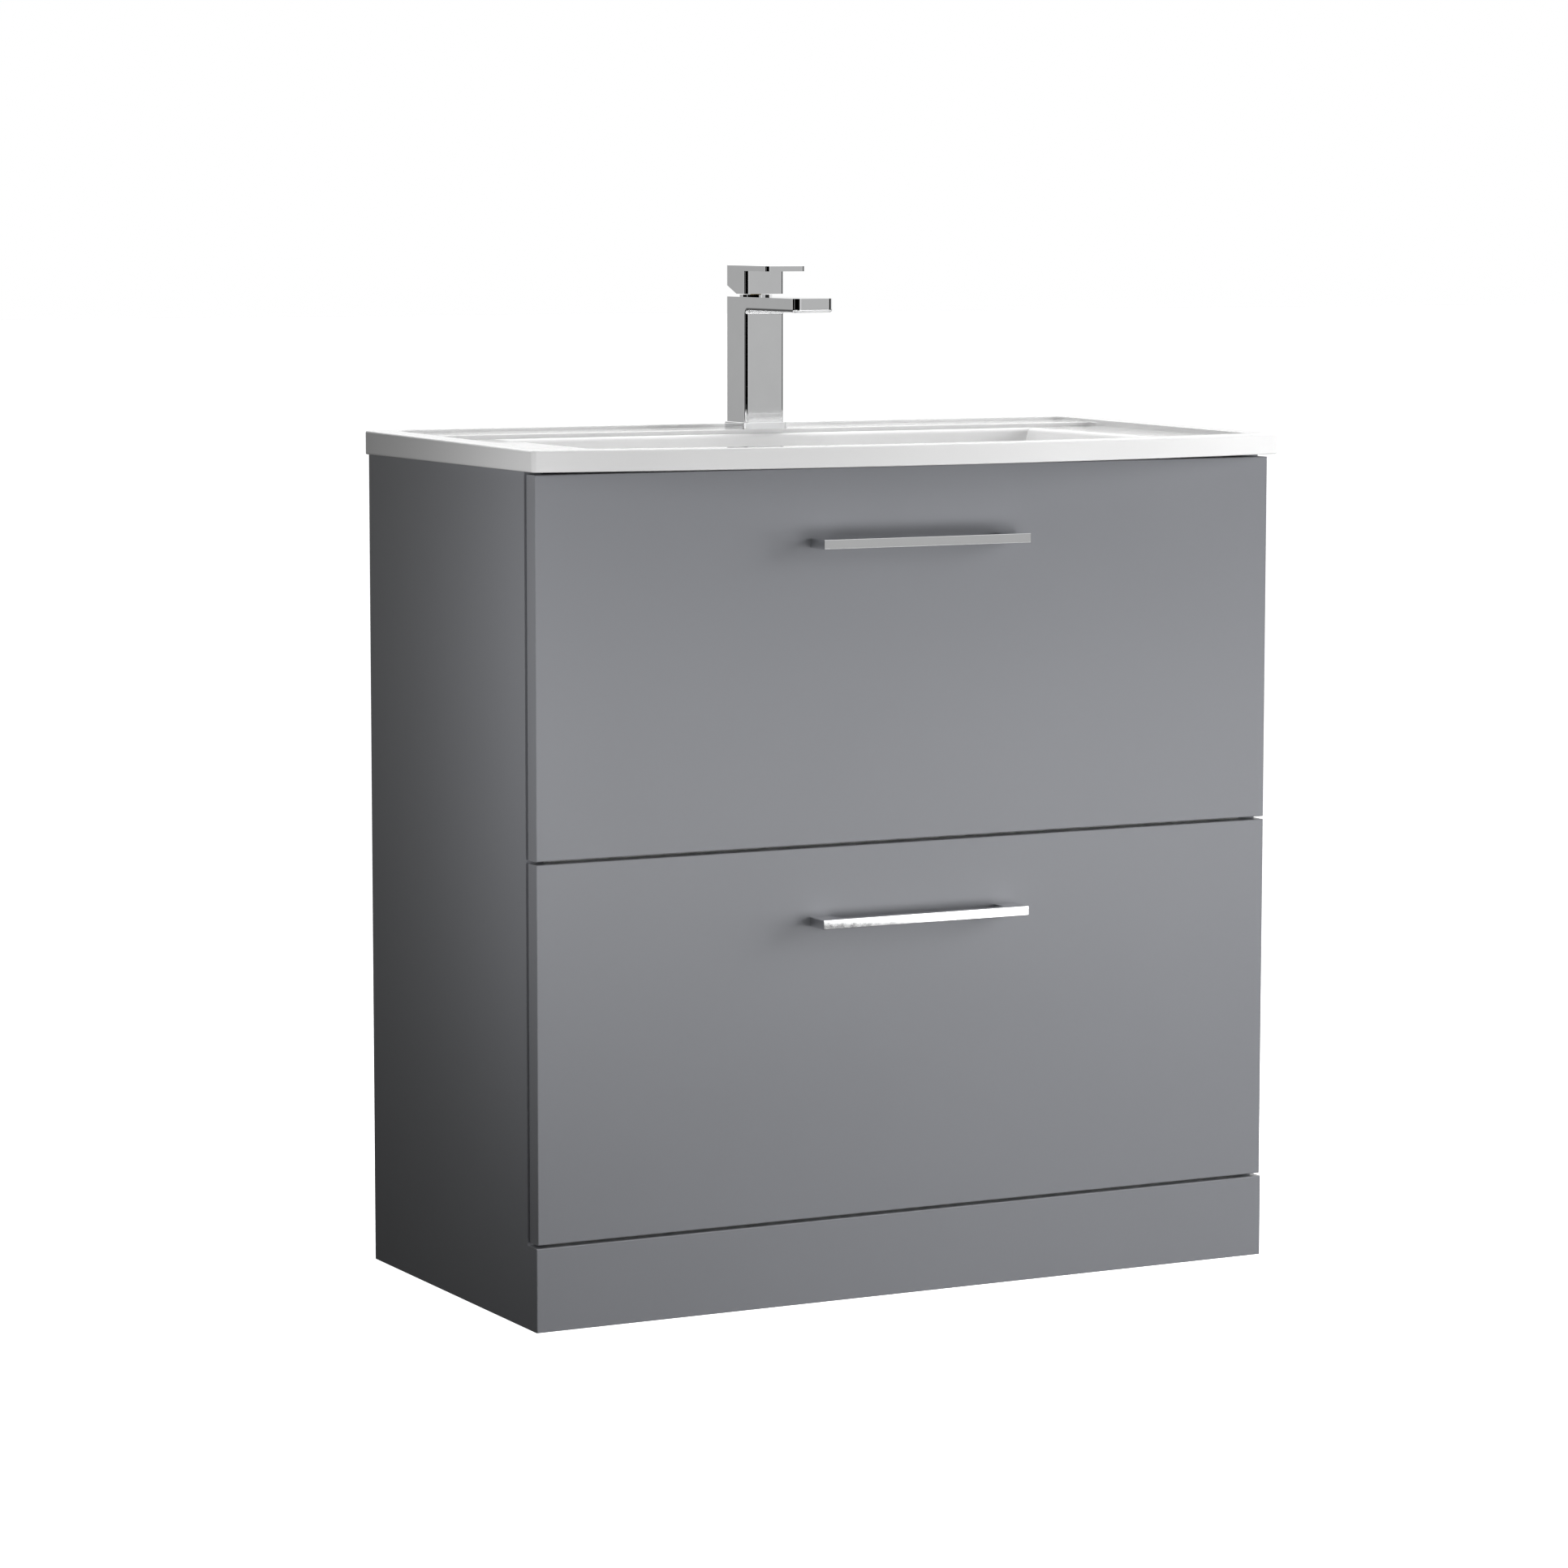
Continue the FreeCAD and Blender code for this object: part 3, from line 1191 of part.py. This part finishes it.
def export_nodes():
    os.makedirs("parts", exist_ok=True)
    for item in nodes:
        item.Shape.exportStep(os.path.join("parts", f"{item.Label}.step"))
        print(item.Label, len(item.Shape.Solids), round(item.Shape.Volume / 1000, 2))


make_cabinet()
make_runners()
make_upper_drawer()
make_lower_drawer()
make_basin()
make_overflow_ring()
make_waste()
make_waste_plug()
make_tap()
doc.recompute()
check_document()
export_nodes()
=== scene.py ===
import json
import math

import bpy
from mathutils import Matrix, Vector

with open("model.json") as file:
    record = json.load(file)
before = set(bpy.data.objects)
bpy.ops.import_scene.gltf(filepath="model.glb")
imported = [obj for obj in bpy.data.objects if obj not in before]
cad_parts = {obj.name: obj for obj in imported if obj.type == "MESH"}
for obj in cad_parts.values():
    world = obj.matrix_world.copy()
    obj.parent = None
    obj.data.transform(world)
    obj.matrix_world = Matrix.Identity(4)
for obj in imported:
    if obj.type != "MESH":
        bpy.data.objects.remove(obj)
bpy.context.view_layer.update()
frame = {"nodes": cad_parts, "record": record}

# Bathroom vanity: gloss grey two-drawer cabinet, white ceramic basin and square mixer tap.
# Metres and watts, +Z up, -Y towards the person using it.

NODES = frame["nodes"]
SLOTS = {entry["node"]: entry["material_slot"] for entry in frame["record"]["subparts"]}

# The part of a noise's 0 to 1 that it usually fills.
NOISE_LOW = 0.3
NOISE_HIGH = 0.7

CAMERA_PLACE = (-2.3684, -4.4491, 1.0493)
CAMERA_TURN = math.radians(-27.486)
CAMERA_TILT = math.radians(90 - 6.446)
CAMERA_ROLL = math.radians(0.047)
CAMERA_SENSOR_MM = 36
CAMERA_LENS_MM = 117.75

FLOOR_HALF = 40
CABINET_MIDDLE = (0, 0, 0.45)

# Soft panels that face the middle of the cabinet; size is the width and the height.
LIGHTS = (
    {"name": "key", "place": (2.8, -1.5, 0.9), "size": (1.4, 2.0), "power": 110},
    {"name": "top", "place": (0.1, 0.4, 2.5), "size": (1.0, 0.9), "power": 34},
    {"name": "low_fill", "place": (0.3, -1.5, 0.2), "size": (1.4, 0.4), "power": 9},
    {"name": "middle_fill", "place": (-0.2, -1.6, 0.6), "size": (1.2, 0.4), "power": 3.2},
    {"name": "left_fill", "place": (-0.75, -0.28, 0.62), "size": (0.2, 0.6), "power": 1.4},
)
# The panel that makes the white band along the lower handle.
BAND = {"name": "band", "place": (0.55, -1.22, 0.38), "size": (1.4, 0.35), "power": 4.0}

# Greys of the room that only reflections show, as stops of a ramp: position, grey.
# Walls go from -X (0) round by -Y (0.25) to +X (0.5) and +Y (0.75).
# Shade and ceiling go from straight down (0) through the horizon (0.5) to straight up (1).
ROOM_WALLS = (
    (0.0, 0.3), (0.008, 0.3), (0.012, 0.0), (0.234, 0.0), (0.24, 0.5), (0.272, 0.5),
    (0.28, 0.95), (0.29, 0.95), (0.3, 0.55), (0.352, 0.55), (0.36, 0.95), (0.37, 0.02),
    (0.47, 0.02), (0.49, 0.95), (0.72, 0.95), (0.76, 0.46), (0.858, 0.46), (0.866, 0.95),
    (0.876, 0.95), (0.884, 0.0), (0.988, 0.0), (0.992, 0.3), (1.0, 0.3),
)
ROOM_SHADE = ((0.0, 0.1), (0.4, 0.25), (0.46, 0.85), (0.485, 1.0), (1.0, 1.0))
ROOM_CEILING = ((0.0, 0.0), (0.575, 0.0), (0.7, 1.0), (1.0, 1.0))

scene = bpy.context.scene
scene.view_settings.view_transform = "Standard"


# Node-tree helpers


def connect(tree, value, socket):
    """Links an output to the socket, or sets the socket to a plain value."""
    if isinstance(value, bpy.types.NodeSocket):
        tree.links.new(value, socket)
    else:
        socket.default_value = value


def add_node(tree, kind, inputs, settings):
    """Adds a node; inputs maps the names or numbers of its sockets to links or plain values."""
    node = tree.nodes.new(kind)
    for name, value in settings.items():
        setattr(node, name, value)
    for socket, value in inputs.items():
        connect(tree, value, node.inputs[socket])
    return node


def add_ramp(tree, value, stops):
    """A colour ramp; each stop is a position and a colour."""
    ramp = add_node(tree, "ShaderNodeValToRGB", {"Fac": value}, {})
    elements = ramp.color_ramp.elements
    while len(elements) < len(stops):
        elements.new(0.5)
    for element, (position, colour) in zip(elements, stops):
        element.position = position
        element.color = (*colour, 1)
    return ramp.outputs["Color"]


class Graph:
    """A material's node tree, with short calls to add and link its nodes."""

    def __init__(self, name):
        self.material = bpy.data.materials.new(name)
        self.material.use_nodes = True
        self.tree = self.material.node_tree
        self.shader = self.tree.nodes["Principled BSDF"]

    def set(self, **sockets):
        for name, value in sockets.items():
            self.shader.inputs[name.replace("_", " ")].default_value = value

    def link(self, output, socket):
        self.tree.links.new(output, self.shader.inputs[socket])

    def add(self, kind, inputs):
        return add_node(self.tree, kind, inputs, {})

    def place(self, stretch):
        """Object coordinates, in metres, stretched along each axis."""
        coordinates = self.add("ShaderNodeTexCoord", {}).outputs["Object"]
        return self.add("ShaderNodeMapping", {"Vector": coordinates, "Scale": stretch}).outputs[0]

    def noise(self, scale, detail=2.0, roughness=0.5, stretch=(1, 1, 1)):
        inputs = {
            "Vector": self.place(stretch), "Scale": scale, "Detail": detail, "Roughness": roughness,
        }
        return self.add("ShaderNodeTexNoise", inputs).outputs["Fac"]

    def spread(self, value, low, high):
        """Maps a noise's usual span to the span from low to high."""
        inputs = {
            "Value": value, "From Min": NOISE_LOW, "From Max": NOISE_HIGH,
            "To Min": low, "To Max": high,
        }
        return self.add("ShaderNodeMapRange", inputs).outputs["Result"]

    def shades(self, value, dark, light):
        """Maps a noise's usual span to the colours from dark to light."""
        return add_ramp(self.tree, value, ((NOISE_LOW, dark), (NOISE_HIGH, light)))

    def bump(self, height, distance):
        """Lets a noise raise the surface by up to this distance."""
        node = self.add("ShaderNodeBump", {"Height": height, "Distance": distance, "Strength": 1.0})
        self.link(node.outputs["Normal"], "Normal")


def scaled(colour, factor):
    return tuple(channel * factor for channel in colour)


# Materials. Each roughness stays above 0.28 or below 0.27 all over: the denoiser
# treats the two sides apart, and a surface that crosses between them comes out in patches.


def gloss_board():
    """Sprayed gloss lacquer: a faint orange peel and a barely uneven depth of colour."""
    graph = Graph("gloss_board")
    grey = (0.220, 0.2255, 0.2425)
    graph.link(graph.shades(graph.noise(scale=3.0), scaled(grey, 0.985), scaled(grey, 1.015)), "Base Color")
    graph.link(graph.spread(graph.noise(scale=26.0, detail=3.0), 0.29, 0.33), "Roughness")
    graph.bump(graph.noise(scale=160.0, detail=1.0), distance=0.000002)
    graph.set(Specular_IOR_Level=0.25)
    return graph.material


def white_board():
    """Melamine-faced board with the fine pearl texture of its press plate."""
    graph = Graph("white_board")
    white = (0.76, 0.76, 0.745)
    graph.link(graph.shades(graph.noise(scale=5.0), scaled(white, 0.97), white), "Base Color")
    graph.link(graph.spread(graph.noise(scale=900.0), 0.42, 0.55), "Roughness")
    graph.bump(graph.noise(scale=1400.0), distance=0.00004)
    return graph.material


def glazed_white():
    """White glaze over fireclay: a slow ripple under a hard clear surface."""
    graph = Graph("glazed_white")
    white = (0.83, 0.83, 0.83)
    graph.link(graph.shades(graph.noise(scale=4.0), scaled(white, 0.99), white), "Base Color")
    graph.link(graph.spread(graph.noise(scale=40.0, detail=3.0), 0.10, 0.16), "Roughness")
    graph.bump(graph.noise(scale=30.0, detail=1.0), distance=0.000003)
    graph.set(Coat_Weight=0.4, Coat_Roughness=0.05)
    return graph.material


def chrome_plate():
    """Polished plate with a light haze, as on a wiped fitting."""
    graph = Graph("chrome_plate")
    metal = (0.80, 0.805, 0.81)
    graph.link(graph.shades(graph.noise(scale=60.0, detail=4.0), scaled(metal, 0.98), metal), "Base Color")
    graph.link(graph.spread(graph.noise(scale=180.0, detail=4.0), 0.03, 0.06), "Roughness")
    graph.bump(graph.noise(scale=120.0, detail=1.0), distance=0.0000015)
    graph.set(Metallic=1.0)
    return graph.material


def rolled_metal(name, colour, roughness):
    """Sheet or turned metal with fine marks along its length, the y axis."""
    graph = Graph(name)
    marks = graph.noise(scale=260.0, detail=6.0, roughness=0.6, stretch=(1, 0.05, 1))
    graph.link(graph.shades(marks, scaled(colour, 0.88), colour), "Base Color")
    graph.link(graph.spread(marks, roughness - 0.06, roughness + 0.08), "Roughness")
    graph.bump(marks, distance=0.00002)
    graph.set(Metallic=1.0)
    return graph.material


def moulded(name, colour, roughness):
    """A spark-eroded plastic moulding: a fine even grain."""
    graph = Graph(name)
    grain = graph.noise(scale=1800.0)
    graph.link(graph.shades(graph.noise(scale=40.0), scaled(colour, 0.94), colour), "Base Color")
    graph.link(graph.spread(grain, roughness - 0.05, roughness + 0.05), "Roughness")
    graph.bump(grain, distance=0.00003)
    return graph.material


MATERIALS = {
    "gloss_board": gloss_board(),
    "white_board": white_board(),
    "glazed_white": glazed_white(),
    "chrome_plate": chrome_plate(),
    "zinc_steel": rolled_metal("zinc_steel", (0.62, 0.63, 0.65), 0.36),
    "hard_steel": rolled_metal("hard_steel", (0.50, 0.51, 0.53), 0.36),
    "brass_rod": rolled_metal("brass_rod", (0.72, 0.55, 0.26), 0.36),
    "dark_plastic": moulded("dark_plastic", (0.02, 0.02, 0.022), 0.45),
    "grey_plastic": moulded("grey_plastic", (0.46, 0.47, 0.48), 0.42),
    "white_plastic": moulded("white_plastic", (0.78, 0.78, 0.77), 0.36),
    "seal_rubber": moulded("seal_rubber", (0.025, 0.025, 0.025), 0.62),
}


def dress(node):
    """Gives a CAD node the material of its slot."""
    piece = NODES[node]
    piece.data.materials.clear()
    piece.data.materials.append(MATERIALS[SLOTS[node]])


# Camera, floor, lights and room


def add_camera():
    data = bpy.data.cameras.new("camera")
    data.sensor_width = CAMERA_SENSOR_MM
    data.lens = CAMERA_LENS_MM
    camera = bpy.data.objects.new("camera", data)
    turn = Matrix.Rotation(CAMERA_TURN, 4, "Z")
    tilt = Matrix.Rotation(CAMERA_TILT, 4, "X")
    roll = Matrix.Rotation(CAMERA_ROLL, 4, "Z")
    camera.matrix_world = Matrix.Translation(CAMERA_PLACE) @ turn @ tilt @ roll
    scene.collection.objects.link(camera)
    scene.camera = camera


def add_floor():
    """A pale floor that the camera sees, and that neither lights the object nor shows in it."""
    mesh = bpy.data.meshes.new("floor")
    low, high = -FLOOR_HALF, FLOOR_HALF
    corners = [(low, low, 0), (high, low, 0), (high, high, 0), (low, high, 0)]
    mesh.from_pydata(corners, [], [(0, 1, 2, 3)])
    floor = bpy.data.objects.new("floor", mesh)
    graph = Graph("floor")
    pale = graph.shades(graph.noise(scale=2.0), (0.98, 0.98, 0.98), (1, 1, 1))
    graph.link(pale, "Base Color")
    graph.link(pale, "Emission Color")
    graph.set(Roughness=0.9, Emission_Strength=0.97)
    mesh.materials.append(graph.material)
    floor.visible_diffuse = False
    floor.visible_glossy = False
    scene.collection.objects.link(floor)


def aimed(place, target):
    aim = Vector(target) - Vector(place)
    return Matrix.Translation(place) @ aim.to_track_quat("-Z", "Y").to_matrix().to_4x4()


def add_light(name, place, size, power, only_reflected):
    """A soft panel that the camera doesn't see. It either lights surfaces or only shows in them."""
    data = bpy.data.lights.new(name, "AREA")
    data.shape = "RECTANGLE"
    data.size, data.size_y = size
    data.energy = power
    light = bpy.data.objects.new(name, data)
    light.matrix_world = aimed(place, CABINET_MIDDLE)
    light.visible_camera = False
    light.visible_glossy = only_reflected
    light.visible_diffuse = not only_reflected
    scene.collection.objects.link(light)


def add_room():
    """A white room for the camera; reflections show grey walls, partly dark, and a white ceiling."""
    world = bpy.data.worlds.new("studio")
    world.use_nodes = True
    tree = world.node_tree

    def node(kind, inputs, **settings):
        return add_node(tree, kind, inputs, settings)

    def ramp(value, stops):
        return add_ramp(tree, value, [(position, (grey,) * 3) for position, grey in stops])

    def mix(blend, one, other, factor=1.0):
        inputs = {"A": one, "B": other, "Factor": factor}
        return node("ShaderNodeMix", inputs, data_type="RGBA", blend_type=blend).outputs["Result"]

    direction = node("ShaderNodeTexCoord", {}).outputs["Generated"]
    x, y, z = node("ShaderNodeSeparateXYZ", {0: direction}).outputs
    bearing = node("ShaderNodeMath", {0: y, 1: x}, operation="ARCTAN2").outputs[0]
    turn = {"Value": bearing, "From Min": -math.pi, "From Max": math.pi}
    around = node("ShaderNodeMapRange", turn).outputs[0]
    height = node("ShaderNodeMapRange", {"Value": z, "From Min": -1}).outputs[0]
    walls = mix("MULTIPLY", ramp(around, ROOM_WALLS), ramp(height, ROOM_SHADE))
    room = mix("ADD", walls, ramp(height, ROOM_CEILING))
    is_camera = node("ShaderNodeLightPath", {}).outputs["Is Camera Ray"]
    seen = mix("MIX", room, (1, 1, 1, 1), is_camera)
    tree.links.new(seen, tree.nodes["Background"].inputs["Color"])
    world.cycles_visibility.diffuse = False
    scene.world = world


for name in NODES:
    dress(name)
add_camera()
add_floor()
add_room()
for light in LIGHTS:
    add_light(**light, only_reflected=False)
add_light(**BAND, only_reflected=True)
